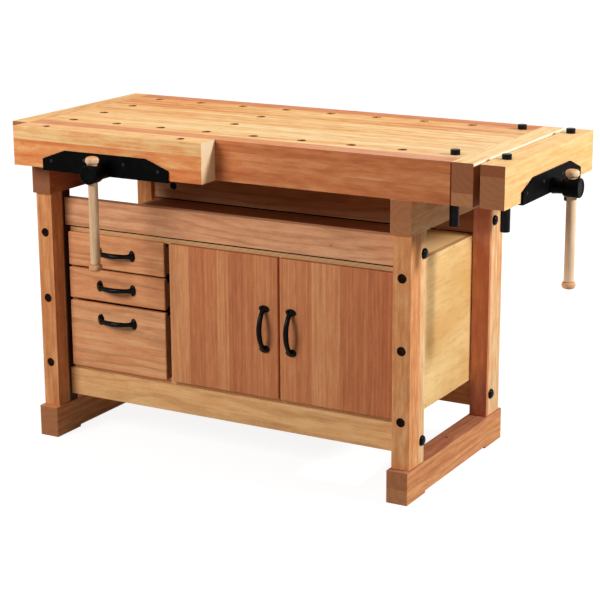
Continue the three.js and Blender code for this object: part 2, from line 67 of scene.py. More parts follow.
# Colours are picked as 0 to 255 screen values and turned into light values
def tint(red, green, blue):
    shares = np.array([red, green, blue]) / 255
    light = np.where(shares <= 0.04045, shares / 12.92, ((shares + 0.055) / 1.055) ** 2.4)
    return (*light.tolist(), 1.0)


# A node with its settings, and its inputs either linked or set
def wire(tree, kind, inputs=None, **settings):
    node = tree.nodes.new(kind)
    for key, value in settings.items():
        setattr(node, key, value)
    for key, value in (inputs or {}).items():
        socket = node.inputs[key]
        if isinstance(value, bpy.types.NodeSocket):
            tree.links.new(value, socket)
        else:
            socket.default_value = value
    return node


def sums(tree, operation, first, second=0.0, clamp=False):
    return wire(tree, "ShaderNodeMath", {0: first, 1: second}, operation=operation, use_clamp=clamp).outputs[0]


# A running total with a share of another value added
def addShare(tree, total, part, share, clamp=False):
    return sums(tree, "ADD", total, sums(tree, "MULTIPLY", part, share), clamp)


def vectors(tree, operation, *inputs):
    return wire(tree, "ShaderNodeVectorMath", dict(enumerate(inputs)), operation=operation).outputs


def split(tree, vector):
    return wire(tree, "ShaderNodeSeparateXYZ", {0: vector}).outputs


def spread(tree, value, fromLow, fromHigh, toLow=0.0, toHigh=1.0):
    inputs = {"Value": value, "From Min": fromLow, "From Max": fromHigh, "To Min": toLow, "To Max": toHigh}
    return wire(tree, "ShaderNodeMapRange", inputs, interpolation_type="SMOOTHSTEP").outputs[0]


def blendColours(tree, share, first, second, mode="MIX"):
    node = wire(tree, "ShaderNodeMix", {0: share, 6: first, 7: second}, data_type="RGBA", blend_type=mode)
    return node.outputs[2]


def stretchedNoise(tree, place, stretch, detail, roughness=0.5):
    inputs = {"Vector": vectors(tree, "MULTIPLY", place, stretch)[0], "Scale": 1.0, "Detail": detail,
              "Roughness": roughness}
    return wire(tree, "ShaderNodeTexNoise", inputs).outputs[0]


def emptyTree(owner):
    owner.use_nodes = True
    owner.node_tree.nodes.clear()
    return owner.node_tree


def newFinish(name):
    material = bpy.data.materials.new(name)
    tree = emptyTree(material)
    shader = wire(tree, "ShaderNodeBsdfPrincipled")
    wire(tree, "ShaderNodeOutputMaterial", {"Surface": shader.outputs[0]})
    return material, tree, shader


def setSurface(tree, shader, colour, rough, bump, shine):
    strength, distance, height = bump
    relief = wire(tree, "ShaderNodeBump", {"Strength": strength, "Distance": distance, "Height": height})
    tree.links.new(colour, shader.inputs["Base Color"])
    tree.links.new(rough, shader.inputs["Roughness"])
    tree.links.new(relief.outputs[0], shader.inputs["Normal"])
    shader.inputs["Specular IOR Level"].default_value = shine


# What all beech shares. A noise is its stretch along and across the grain, its detail and its roughness. A range
# is what a value runs from and to, and where given what it is turned into
beechLook = {
    "lotStep": 7.3, "seam": (0.0, 0.0007, 1.0, 0.0), "swing": (0.9, 0.07, 0.04), "drift": (0.4, 0.03, 0.02),
    "pace": (1.7, 2.9, 3.7), "heartDepth": 0.035, "seedStep": (1.37, 0.71, 0.43), "taper": (0.06, 1, 1),
    "waver": ((1.6, 10, 10), 3.0), "waverYears": 4.5, "lateWood": (0.1, 1.0),
    "streakAlong": 1.7, "streak": (4.0, 0.62), "mottle": ((16, 62, 62), 3.0, 0.6), "swell": (0.3, 0.7, -0.5, 0.5),
    "fibre": ((12, 420, 420), 2.0, 0.6), "fibreDark": (0.45, 0.75), "fibreShare": 0.2,
    "fleck": ((90, 640, 640), 1.0), "fleckDark": (0.6, 0.72), "fleckShare": 0.2, "fleckPit": 0.5,
    "knotGrid": (4, 11, 1), "knotRare": 0.86, "knotSize": (0.008, 0.026, 1.0, 0.0), "knotShare": 0.8,
    "seamShare": 0.35, "sawn": (0.65, 0.92), "pores": ((300, 900, 900), 2.0), "endRings": 0.09, "endPores": 0.62,
    # Painted shade in bored holes: which faces count as walls, how far the side facing the lamp on the right is
    # spared, and how far from the board's sides it stops
    "boreWall": (0.2, 0.6, 1.0, 0.0), "boreLit": (0.55, 1.0, 1.0, 0.2), "boreRim": (0.006, 0.004),
    "roughSpan": 0.1, "roughEnd": 0.16, "bump": (0.16, 0.0005), "shine": 0.06}


# Staves across a board, glued at given places. Gives each stave's own lot, its tone on the faces, its tone on
# the sawn ends, and the seams
def staveLots(tree, look, across):
    past = [sums(tree, "GREATER_THAN", across, place) for place in look["splits"]]
    count, nearest = look["seed"] * beechLook["lotStep"], 1.0
    for place, over in zip(look["splits"], past):
        count = sums(tree, "ADD", over, count)
        nearest = sums(tree, "MINIMUM", sums(tree, "ABSOLUTE", sums(tree, "SUBTRACT", across, place)), nearest)
    tones = []
    for steps in (look["tones"], look.get("endTones", look["tones"])):
        tone = steps[0]
        for over, step in zip(past, np.diff(steps).tolist()):
            tone = addShare(tree, tone, over, step)
        tones.append(tone)
    lots = wire(tree, "ShaderNodeTexWhiteNoise", {"W": count}, noise_dimensions="1D").outputs["Color"]
    return lots, *tones, spread(tree, nearest, *beechLook["seam"])


# Beech: staves across one axis, each with its own cut of the log. Rings are the distance from the heart, drawn
# out along the grain and bent by slow noise; streaks, mottle, fibres and flecks are noise drawn out along the grain
def beechFinish(name, look):
    material, tree, shader = newFinish(name)
    coords = wire(tree, "ShaderNodeTexCoord").outputs
    parts = split(tree, coords["Object"])
    third = ({xAxis, yAxis, zAxis} - {look["grain"], look["stave"]}).pop()
    turns = (look["grain"], look["stave"], third)
    turned = wire(tree, "ShaderNodeCombineXYZ", {place: parts[axis] for place, axis in enumerate(turns)}).outputs[0]
    lots, lotTone, endLot, seam = staveLots(tree, look, parts[look["stave"]])
    seed = look["seed"]
    swing = np.array(beechLook["swing"])
    along, across, deep = (seed * pace for pace in beechLook["pace"])
    drift = np.array(beechLook["drift"]) * (math.sin(along), math.sin(across), math.cos(deep))
    heart = np.array([look["middle"][axis] for axis in turns]) + (drift + (0, 0, beechLook["heartDepth"]))
    cut = vectors(tree, "MULTIPLY_ADD", lots, swing.tolist(), (-heart - swing / 2).tolist())[0]
    log = vectors(tree, "ADD", turned, cut)[0]
    own = vectors(tree, "ADD", log, [seed * step for step in beechLook["seedStep"]])[0]
    waver = stretchedNoise(tree, own, *beechLook["waver"])
    distance = vectors(tree, "LENGTH", vectors(tree, "MULTIPLY", log, beechLook["taper"])[0])["Value"]
    years = addShare(tree, sums(tree, "MULTIPLY", distance, look["rings"]), waver, beechLook["waverYears"])
    ring = spread(tree, sums(tree, "SINE", sums(tree, "MULTIPLY", years, 2 * math.pi)), *beechLook["lateWood"])
    drawnOut = (beechLook["streakAlong"], look["fine"], look["fine"])
    streak = spread(tree, stretchedNoise(tree, own, drawnOut, *beechLook["streak"]), *beechLook["swell"])
    mottle = spread(tree, stretchedNoise(tree, own, *beechLook["mottle"]), *beechLook["swell"])
    fibre = stretchedNoise(tree, own, *beechLook["fibre"])
    fleck = spread(tree, stretchedNoise(tree, own, *beechLook["fleck"]), *beechLook["fleckDark"])
    spots = vectors(tree, "MULTIPLY", own, beechLook["knotGrid"])[0]
    spots = wire(tree, "ShaderNodeTexVoronoi", {"Vector": spots, "Scale": 1.0}, voronoi_dimensions="2D").outputs
    lot = wire(tree, "ShaderNodeSeparateColor", {0: spots["Color"]}).outputs[0]
    rare = sums(tree, "GREATER_THAN", lot, beechLook["knotRare"])
    knot = sums(tree, "MULTIPLY", spread(tree, spots["Distance"], *beechLook["knotSize"]), rare)
    level = addShare(tree, lotTone, streak, look["streakShare"])
    level = addShare(tree, level, mottle, look["mottleShare"], clamp=True)
    ramp = wire(tree, "ShaderNodeValToRGB", {0: level})
    stops = ramp.color_ramp.elements
    stops[0].color = tint(*look["dark"])
    stops[1].color = tint(*look["light"])
    stops.new(0.5).color = tint(*look["mid"])
    marks = addShare(tree, sums(tree, "MULTIPLY", ring, look["ringDepth"]), fleck, beechLook["fleckShare"])
    marks = addShare(tree, marks, spread(tree, fibre, *beechLook["fibreDark"]), beechLook["fibreShare"])
    marks = addShare(tree, marks, knot, beechLook["knotShare"])
    marks = addShare(tree, marks, seam, beechLook["seamShare"], clamp=True)
    side = blendColours(tree, marks, ramp.outputs[0], tint(*look["mark"]))
    facing = split(tree, vectors(tree, "ABSOLUTE", coords["Normal"])[0])
    sawn = spread(tree, facing[look["grain"]], *beechLook["sawn"])
    pores = stretchedNoise(tree, own, *beechLook["pores"])
    endRings = sums(tree, "MULTIPLY", ring, beechLook["endRings"])
    endShare = addShare(tree, endRings, pores, beechLook["endPores"], clamp=True)
    endTone = blendColours(tree, endLot, tint(*look["endDark"]), tint(*look["endLight"]))
    endColour = blendColours(tree, endShare, endTone, tint(*look["endMark"]))
    colour = blendColours(tree, sawn, side, endColour)
    # Painted shade: the walls of bored holes are turned towards a dark colour, as if no light reached down them. The
    # side that faces the lamp on the right is kept lighter, and the board's outer faces are spared
    if "bore" in look:
        turnedRight = split(tree, coords["Normal"])[xAxis]
        boreShadeShare = sums(tree, "MULTIPLY", spread(tree, facing[zAxis], *beechLook["boreWall"]),
                    spread(tree, turnedRight, *beechLook["boreLit"]))
        for axis in (xAxis, yAxis):
            away = sums(tree, "ABSOLUTE", sums(tree, "SUBTRACT", parts[axis], look["middle"][axis]))
            start, stop = (look["half"][axis] - rim for rim in beechLook["boreRim"])
            boreShadeShare = sums(tree, "MULTIPLY", boreShadeShare, spread(tree, away, start, stop, 1.0, 0.0))
        colour = blendColours(tree, boreShadeShare, colour, tint(*look["bore"]))
    # Zones blend their colours over the wood; most are painted light or shade, as marked in the table of zones
    for spans, mode, shade in look.get("zones", ()):
        share = 1.0
        for axis, start, stop in spans:
            share = sums(tree, "MULTIPLY", spread(tree, parts[axis], start, stop), share)
        colour = blendColours(tree, share, colour, tint(*shade), mode)
    gloss = (look["gloss"], look["gloss"] + beechLook["roughSpan"])
    rough = addShare(tree, spread(tree, streak, *beechLook["swell"][2:], *gloss), sawn, beechLook["roughEnd"])
    pits = sums(tree, "ADD", sums(tree, "MULTIPLY", fleck, beechLook["fleckPit"]), seam)
    height = sums(tree, "SUBTRACT", fibre, pits)
    setSurface(tree, shader, colour, rough, (*beechLook["bump"], height), beechLook["shine"])
    return material


# Plywood: a quiet face veneer, and on the edges thin layers that alternate across the thickness
plyLook = {
    "ripple": ((14, 90, 90), 3.0, 0.6), "rippleDark": (0.45, 0.7), "rippleShare": 0.3,
    "fibre": ((60, 420, 420), 3.0, 0.65), "fibreDark": (0.45, 0.8), "fibreShare": 0.2,
    "broad": ((3, 7, 7), 3.0, 0.55), "broadTone": (0.3, 0.7), "layerPitch": 0.0032, "layerEdge": (-0.25, 0.25),
    "crumbs": ((500, 500, 700), 2.0), "crumbDark": (0.55, 0.8, 0.0, 0.3), "face": (0.4, 0.75),
    "rough": (0.3, 0.7, 0.48, 0.6), "bump": (0.12, 0.0004), "shine": 0.15}


def plyFinish(name, look):
    material, tree, shader = newFinish(name)
    coords = wire(tree, "ShaderNodeTexCoord").outputs
    parts = split(tree, coords["Object"])
    third = ({xAxis, yAxis, zAxis} - {look["grain"], look["thin"]}).pop()
    order = {0: parts[look["grain"]], 1: parts[third], 2: parts[look["thin"]]}
    own = wire(tree, "ShaderNodeCombineXYZ", order).outputs[0]
    ripple = stretchedNoise(tree, own, *plyLook["ripple"])
    fibre = stretchedNoise(tree, own, *plyLook["fibre"])
    broad = spread(tree, stretchedNoise(tree, own, *plyLook["broad"]), *plyLook["broadTone"])
    face = blendColours(tree, broad, tint(*look["dark"]), tint(*look["light"]))
    marks = sums(tree, "MULTIPLY", spread(tree, ripple, *plyLook["rippleDark"]), plyLook["rippleShare"])
    marks = addShare(tree, marks, spread(tree, fibre, *plyLook["fibreDark"]), plyLook["fibreShare"], clamp=True)
    face = blendColours(tree, marks, face, tint(*look["mark"]))
    # Where given, the face turns to a pale colour along x; on the cabinet's top this is where its painted shade ends
    if "paleEnd" in look:
        face = blendColours(tree, spread(tree, parts[xAxis], *look["paleFrom"]), face, tint(*look["paleEnd"]))
    layer = sums(tree, "SINE", sums(tree, "MULTIPLY", parts[look["thin"]], 2 * math.pi / plyLook["layerPitch"]))
    layer = spread(tree, layer, *plyLook["layerEdge"])
    layers = blendColours(tree, layer, tint(*look["edgeLight"]), tint(*look["edgeDark"]))
    crumbs = spread(tree, stretchedNoise(tree, own, *plyLook["crumbs"]), *plyLook["crumbDark"])
    layers = blendColours(tree, crumbs, layers, tint(*look["mark"]))
    flat = split(tree, vectors(tree, "ABSOLUTE", coords["Normal"])[0])[look["thin"]]
    colour = blendColours(tree, spread(tree, flat, *plyLook["face"]), layers, face)
    rough = spread(tree, fibre, *plyLook["rough"])
    setSurface(tree, shader, colour, rough, (*plyLook["bump"], fibre), plyLook["shine"])
    return material


# Painted or bare metal: fine noise for the coat's grain, wider noise for handling marks
coatLook = {"gritDetail": 2.0, "rub": ((38, 38, 38), 4.0, 0.65), "worn": (0.42, 0.72), "dull": (0.3, 0.7),
            "roughSpan": 0.14, "relief": 0.0003}


def metalFinish(name, look):
    material, tree, shader = newFinish(name)
    place = wire(tree, "ShaderNodeTexCoord").outputs["Object"]
    grit = stretchedNoise(tree, place, (look["grit"],) * 3, coatLook["gritDetail"])
    rub = stretchedNoise(tree, place, *coatLook["rub"])
    colour = blendColours(tree, spread(tree, rub, *coatLook["worn"]), tint(*look["deep"]), tint(*look["worn"]))
    rough = spread(tree, rub, *coatLook["dull"], look["gloss"], look["gloss"] + coatLook["roughSpan"])
    setSurface(tree, shader, colour, rough, (look["bump"], coatLook["relief"], grit), look["shine"])
    shader.inputs["Metallic"].default_value = look.get("metal", 0.0)
    return material


# The woods: colours of the faces and sawn ends, rings to the metre, and the depth of each kind of marking
ends = {"endDark": (168, 98, 64), "endLight": (216, 150, 102), "endMark": (118, 68, 44)}
slabWood = {**ends, "dark": (220, 136, 76), "mid": (245, 192, 123), "light": (255, 224, 168), "mark": (190, 112, 62),
            "rings": 80, "ringDepth": 0.12, "fine": 46, "streakShare": 0.66, "mottleShare": 0.4, "gloss": 0.5}
jawWood = {**slabWood, "dark": (226, 122, 70), "mid": (242, 160, 98), "light": (252, 206, 142), "streakShare": 0.5}
# The end jaw's paler colours are partly its own tone and partly painted sheen on its top
endJawWood = {**slabWood, "dark": (232, 164, 98), "mid": (248, 194, 126), "light": (254, 213, 152),
              "mark": (206, 138, 76), "fine": 80, "streakShare": 0.46, "ringDepth": 0.08}
apronWood = {**ends, "dark": (190, 106, 64), "mid": (214, 130, 80), "light": (232, 158, 106), "mark": (148, 76, 42),
             "rings": 80, "ringDepth": 0.12, "fine": 60, "streakShare": 0.5, "mottleShare": 0.4, "gloss": 0.5}
railWood = {**apronWood, "dark": (206, 138, 96), "mid": (230, 166, 122), "light": (244, 192, 146),
            "mark": (144, 84, 52), "rings": 48, "ringDepth": 0.22, "streakShare": 0.36, "mottleShare": 0.3}
drawerWood = {**railWood, "dark": (206, 130, 84), "mid": (232, 158, 108), "light": (246, 186, 134), "ringDepth": 0.28}
doorWood = {**apronWood, "dark": (184, 106, 70), "mid": (212, 134, 88), "light": (236, 168, 114),
            "mark": (140, 76, 46), "rings": 74, "ringDepth": 0.11, "fine": 120, "streakShare": 0.29,
            "mottleShare": 0.2}
frameWood = {**ends, "dark": (210, 132, 82), "mid": (236, 164, 106), "light": (248, 210, 158), "mark": (160, 92, 54),
             "rings": 70, "ringDepth": 0.14, "fine": 60, "streakShare": 0.45, "mottleShare": 0.4, "gloss": 0.5}
footWood = {**frameWood, "dark": (206, 132, 84), "mid": (228, 160, 106), "light": (242, 188, 134),
            "rings": 48, "ringDepth": 0.3}
skirtWood = {**footWood, "dark": (230, 164, 106), "mid": (250, 192, 130), "light": (254, 210, 150),
             "ringDepth": 0.2, "streakShare": 0.36}
# Painted light: near white sawn ends for the front jaw, standing for the strong light that falls on its ends
paintedLightEnds = {"endDark": (255, 230, 186), "endLight": (255, 240, 204), "endMark": (246, 204, 152)}
plyWood = {"dark": (230, 181, 111), "light": (249, 214, 150), "mark": (204, 146, 82),
           "edgeLight": (236, 190, 134), "edgeDark": (190, 138, 90)}
# Painted shade: the cabinet's top under the bench top is given dark colours, turning to its own pale colour towards
# the right end where light reaches in
shelfShadeWood = {"dark": (158, 100, 62), "light": (180, 120, 78), "mark": (120, 72, 44),
             "paleFrom": (0.16, 0.36), "paleEnd": (254, 214, 146)}
shadedEdge = {"edgeLight": (126, 86, 58), "edgeDark": (104, 68, 46)}

# Each board: what it is sawn from, which way its grain runs, across which axis its staves lie, where they are
# glued, how light each one is, and its own cut of the log
boards = {
    "top_slab": ({**slabWood, "bore": (126, 66, 32)}, xAxis, yAxis,
                 [-0.112, -0.05, 0.03, 0.102, 0.172, 0.236, 0.288],
                 [0.62, 0.8, 0.74, 0.55, 0.66, 0.24, 0.4, 0.24], 1),
    # Painted light: the front apron's hair-thin top stave gives its top face a paler tone than its front face
    "front_apron": (apronWood, xAxis, zAxis, [0.835, 0.872, 0.8985], [0.5, 0.6, 0.4, 0.95], 2),
    "rear_apron": (apronWood, xAxis, zAxis, [0.846], [0.4, 0.6], 3),
    "left_end_cap": (slabWood, yAxis, zAxis, [0.825], [0.7, 0.5], 4),
    "right_end_cap": ({**slabWood, "endTones": [1.0, 0.3]}, yAxis, zAxis, [0.825], [0.6, 0.84], 5),
    "front_jaw": ({**jawWood, **paintedLightEnds, "bore": (120, 64, 34)}, xAxis, zAxis,
                  [0.825, 0.865], [0.25, 0.4, 0.85], 6),
    "end_jaw": ({**endJawWood, "endTones": [0.6, 0.1]}, yAxis, zAxis, [0.872], [0.6, 0.7], 7),
    "left_foot": ({**footWood, "endTones": [0.75, 0.7]}, yAxis, zAxis, [0.046], [0.5, 0.4], 8),
    "right_foot": ({**footWood, "endTones": [1.0, 0.6]}, yAxis, zAxis, [0.04], [0.44, 0.26], 9),
    # Painted shade: the left bearer's very low stave tones, which also darken its sawn end, stand for the shade under
    # the front jaw
    "left_bearer": ({**frameWood, "endDark": (156, 100, 70)}, yAxis, zAxis, [0.738], [0.1, 0.0], 10),
    "right_bearer": (frameWood, yAxis, zAxis, [0.738], [0.7, 0.55], 11),
    "left_front_leg": (frameWood, zAxis, yAxis, [-0.176], [0.3, 0.45], 12),
    "left_rear_leg": (frameWood, zAxis, yAxis, [0.32], [0.4, 0.5], 13),
    "right_front_leg": ({**frameWood, "streakShare": 0.3}, zAxis, yAxis,
                        [-0.185, -0.16], [0.42, 0.45, 0.85], 14),
    # Painted shade: the right rear leg's dark front stave stands for the shade on its front face
    "right_rear_leg": (frameWood, zAxis, yAxis, [0.285], [0.1, 0.76], 15),
    "front_upper_rail": (railWood, xAxis, zAxis, [], [0.5], 16),
    "front_lower_rail": (skirtWood, xAxis, zAxis, [], [0.5], 17),
    "rear_upper_rail": (railWood, xAxis, zAxis, [], [0.95], 18),
    "rear_lower_rail": (frameWood, xAxis, zAxis, [], [0.4], 19),
    "drawer_1_front": (drawerWood, xAxis, zAxis, [], [0.5], 20),
    "drawer_2_front": (drawerWood, xAxis, zAxis, [], [0.45], 21),
    "drawer_3_front": (drawerWood, xAxis, zAxis, [0.285], [0.6, 0.72], 22),
    "left_door": (doorWood, zAxis, xAxis, [-0.2435, -0.1955, -0.1555, -0.1188, -0.0688, -0.0308, 0.0112],
                  [0.8, 0.4, 0.5, 0.7, 0.3, 0.5, 0.6, 0.42], 23),
    "right_door": (doorWood, zAxis, xAxis, [0.0892, 0.1345, 0.1779, 0.2199, 0.3012],
                   [0.6, 0.46, 0.78, 0.64, 0.36, 0.3], 24),
}

# Places on a board that are darker or paler, each between two distances from its low or high side, or between
# two places in the frame, with the way of blending and the shade. Most are painted light or shade, as marked
outerFace = (xAxis, "high", 0.0018, 0.0008)
boardZones = {
    # Painted shade on the cap's face in the narrow gap behind the end jaw, and a painted highlight along its top where
    # the lamp on the right reaches over the jaw
    "right_end_cap": [([outerFace], "MIX", (128, 76, 48)),
                      ([outerFace, (zAxis, "high", 0.009, 0.005)], "MIX", (255, 238, 206))],
    "front_apron": [([(xAxis, "high", 0.0036, 0.0026), (zAxis, "high", 0.002, 0.004)], "MULTIPLY", (120, 84, 70)),
                    # Painted sheen: the apron's top grows paler towards the right
                    ([(xAxis, "frame", -0.1, 0.5), (zAxis, "high", 0.003, 0.0015)], "SCREEN", (0, 66, 74))],
    # Painted light and shade on the top: darker to the left, paler towards the right as sheen from the lamps on the
    # right
    "top_slab": [([(xAxis, "frame", -0.1, -0.6)], "MULTIPLY", (255, 241, 229)),
                 ([(xAxis, "frame", 0.1, 0.6)], "SCREEN", (0, 52, 58))],
    "right_foot": [([(zAxis, "high", 0.0018, 0.0008)], "MULTIPLY", (218, 210, 236))],
    # On the right rear leg's painted shaded front face, a screen of blue takes some of the orange out
    "right_rear_leg": [([(yAxis, "low", 0.0018, 0.0008)], "SCREEN", (0, 0, 70))],
    # Painted shade on the left bearer's inner face
    "left_bearer": [([outerFace], "MULTIPLY", (212, 192, 190))],
    # Painted shade on the left front leg's inner face, darkest in a band deep in the narrow gap beside the drawers
    "left_front_leg": [([outerFace], "MULTIPLY", (236, 240, 246)),
                       ([outerFace, (yAxis, "frame", -0.171, -0.161)], "MULTIPLY", (92, 76, 70))],
    # Painted shade: the rear upper rail is darkened towards its right end, where light from the right reaches in
    "rear_upper_rail": [([(xAxis, "frame", 0.0, 0.34)], "MULTIPLY", (186, 160, 152))],
}

# Each plywood panel: which way its grain runs, and which way it is thin
panels = {
    "cabinet_left_side": (yAxis, xAxis), "cabinet_right_side": (yAxis, xAxis),
    "cabinet_top": (xAxis, zAxis), "cabinet_bottom": (xAxis, zAxis),
    "cabinet_divider": (zAxis, xAxis), "cabinet_back": (xAxis, yAxis),
    "drawer_1_box": (xAxis, zAxis), "drawer_2_box": (xAxis, zAxis), "drawer_3_box": (xAxis, zAxis),
}


def placeSpan(low, high, axis, side, start, stop):
    if side == "high":
        return axis, high[axis] - start, high[axis] - stop
    if side == "low":
        return axis, low[axis] + start, low[axis] + stop
    return axis, start, stop


finishes = {}
for nodeName, (wood, grain, stave, splits, tones, seed) in boards.items():
    low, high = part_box(nodeName)
    zones = [([placeSpan(low, high, *span) for span in spans], mode, shade)
             for spans, mode, shade in boardZones.get(nodeName, ())]
    look = {**wood, "grain": grain, "stave": stave, "splits": splits, "tones": tones, "seed": seed,
            "middle": (low + high) / 2, "half": (high - low) / 2, "zones": zones}
    finishes[nodeName] = beechFinish("beech_" + nodeName, look)
for nodeName, (grain, thin) in panels.items():
    wood = {**plyWood, **{"cabinet_top": shelfShadeWood, "cabinet_divider": shadedEdge}.get(nodeName, {})}
    finishes[nodeName] = plyFinish("ply_" + nodeName, {**wood, "grain": grain, "thin": thin})
metalLooks = {
    "black_coat": {"deep": (8, 8, 8), "worn": (14, 14, 14), "grit": 1600, "gloss": 0.46, "bump": 0.2, "shine": 0.015},
    "black_gloss": {"deep": (6, 6, 7), "worn": (11, 11, 12), "grit": 900, "gloss": 0.08, "bump": 0.05, "shine": 0.07},
    "oiled_steel": {"deep": (104, 102, 98), "worn": (146, 143, 138), "grit": 1100, "gloss": 0.3, "bump": 0.15,
                    "shine": 0.5, "metal": 1.0},
    # Black: the plugs' own colour, and painted shade for the bars in the gaps under the upper rails
    "plug_black": {"deep": (7, 7, 8), "worn": (12, 12, 13), "grit": 1400, "gloss": 0.45, "bump": 0.15, "shine": 0.04},
    # Near black brown: the foot screws' own colour, and painted shade for the caps in the front legs' holes
    "cap_brown": {"deep": (22, 11, 8), "worn": (48, 25, 18), "grit": 1400, "gloss": 0.5, "bump": 0.15, "shine": 0.03},
    "dog_steel": {"deep": (14, 13, 12), "worn": (34, 31, 28), "grit": 700, "gloss": 0.26, "bump": 0.15, "shine": 0.08},
    "hub_black": {"deep": (6, 6, 7), "worn": (12, 12, 12), "grit": 800, "gloss": 0.2, "bump": 0.12, "shine": 0.026},
    "screw_grey": {"deep": (30, 29, 27), "worn": (54, 51, 47), "grit": 1200, "gloss": 0.35, "bump": 0.1, "shine": 0.1},
}
metals = {name: metalFinish(name, look) for name, look in metalLooks.items()}
handleWood = {**frameWood, "dark": (212, 170, 130), "mid": (230, 192, 152), "light": (248, 217, 181),
              "mark": (186, 134, 92), "endDark": (224, 158, 102), "endLight": (236, 178, 122),
              "endMark": (196, 130, 82), "grain": zAxis, "stave": xAxis, "splits": [], "ringDepth": 0.15,
              "gloss": 0.38}
print("finishes mixed:", len(finishes) + len(metals))


def bodyOf(nodeName):
    return nodes[nodeName]["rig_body"]


def linkPiece(name, data):
    piece = bpy.data.objects.new(name, data)
    bpy.context.scene.collection.objects.link(piece)
    return piece


# How near points are welded, which angles count as flat and as a corner, the steps of a rounded edge, and its widths
easeLook = {"weld": 1e-5, "flat": math.radians(1), "corner": math.radians(35), "steps": 3, "steelSteps": 2,
            "slab": 0.0006, "top": 0.0016, "board": 0.0018, "steel": 0.0006}


# Eased edges on a board that keeps its own mesh: doubles welded, flat faces joined, edges rounded
def easeEdges(nodeName, width, steps):
    board = nodes[nodeName]
    weld = board.modifiers.new("weld", "WELD")
    weld.merge_threshold = easeLook["weld"]
    flat = board.modifiers.new("flat", "DECIMATE")
    flat.decimate_type = "DISSOLVE"
    flat.angle_limit = easeLook["flat"]
    ease = board.modifiers.new("ease", "BEVEL")
    ease.width = width
    ease.segments = steps
    ease.limit_method = "ANGLE"
    ease.angle_limit = easeLook["corner"]
    ease.use_clamp_overlap = True


# The top's own boards are glued flush, so a copy of each is eased only where no other board meets it
def easedCopy(nodeName, width, steps, sides):
    low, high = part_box(nodeName)
    glued = [(xAxis, low, "x"), (xAxis, high, "X"), (yAxis, low, "y"), (yAxis, high, "Y")]
    planes = [(axis, corner[axis]) for axis, corner, letter in glued if letter in sides]
    mesh = bmesh.new()
    mesh.from_mesh(nodes[nodeName].data)
    bmesh.ops.remove_doubles(mesh, verts=mesh.verts, dist=easeLook["weld"])
    bmesh.ops.dissolve_limit(mesh, angle_limit=easeLook["flat"], verts=mesh.verts, edges=mesh.edges)
    free = []
    for edge in mesh.edges:
        if not edge.is_manifold or edge.calc_face_angle(0.0) < easeLook["corner"]:
            continue
        if not any(all(abs(end.co[axis] - value) < easeLook["weld"] for end in edge.verts) for axis, value in planes):
            free.append(edge)
    bmesh.ops.bevel(mesh, geom=free, offset=width, segments=steps, profile=0.5, affect="EDGES", clamp_overlap=True)
    bmesh.ops.triangulate(mesh, faces=mesh.faces)
    data = bpy.data.meshes.new("eased_" + nodeName)
    mesh.to_mesh(data)
    mesh.free()
    data.materials.append(finishes[nodeName])
    piece = linkPiece("eased_" + nodeName, data)
    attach(piece, bodyOf(nodeName))
    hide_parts(nodeName)


# Glued sides: small letters for a board's low side, capitals for its high side
gluedSides = {"top_slab": "xXyY", "front_apron": "xY", "rear_apron": "xXy", "left_end_cap": "X", "right_end_cap": "x"}
for nodeName, sides in gluedSides.items():
    easedCopy(nodeName, easeLook["slab" if nodeName == "top_slab" else "top"], easeLook["steps"], sides)
# Widths for boards with a word in their name. The last word that fits counts
edgeWidths = {"jaw": 0.002, "rail": 0.0025, "door": 0.003, "drawer": 0.0038, "cabinet": 0.0004, "box": 0.0006}
for nodeName, finish in finishes.items():
    nodes[nodeName].material_slots[0].material = finish
    if nodeName in gluedSides:
        continue
    width = easeLook["board"]
    for word, value in edgeWidths.items():
        if word in nodeName:
            width = value
    easeEdges(nodeName, width, easeLook["steps"])
for nodeName in ("front_plate", "end_plate", "front_nut", "end_nut"):
    nodes[nodeName].material_slots[0].material = metals["black_coat"]
    easeEdges(nodeName, easeLook["steel"], easeLook["steelSteps"])
print("boards eased:", len(finishes))


# A smooth piece, with edges above an angle kept sharp. It rides on a body, if one is given
def putMesh(name, points, faces, finish, body, sharp=40):
    data = bpy.data.meshes.new(name)
    data.from_pydata(points.tolist(), [], faces)
    data.polygons.foreach_set("use_smooth", np.ones(len(data.polygons), bool))
    data.set_sharp_from_angle(angle=math.radians(sharp))
    data.materials.append(finish)
    data.update()
    piece = linkPiece(name, data)
    if body:
        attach(piece, body)
    return piece


# Quads between rings of a grid, and a fan to a point at each end
def tubeFaces(rings, around):
    ring = np.arange(rings - 1)[:, None] * around
    step = np.arange(around)[None, :]
    nextStep = (step + 1) % around
    quads = np.stack([ring + step, ring + nextStep, ring + around + nextStep, ring + around + step], -1)
    foot = rings * around
    lastRing = (rings - 1) * around
    low = np.stack([np.full(around, foot), nextStep[0], step[0]], -1)
    high = np.stack([np.full(around, foot + 1), lastRing + step[0], lastRing + nextStep[0]], -1)
    return quads.reshape(-1, 4).tolist() + low.tolist() + high.tolist()


# For each turning axis: one side, the other side, and the way along
axes = {"x": ((0, 1, 0), (0, 0, 1), (1, 0, 0)), "y": ((0, 0, 1), (1, 0, 0), (0, 1, 0)),
        "z": ((1, 0, 0), (0, 1, 0), (0, 0, 1)), "-x": ((0, 0, 1), (0, 1, 0), (-1, 0, 0)),
        "-y": ((1, 0, 0), (0, 0, 1), (0, -1, 0))}


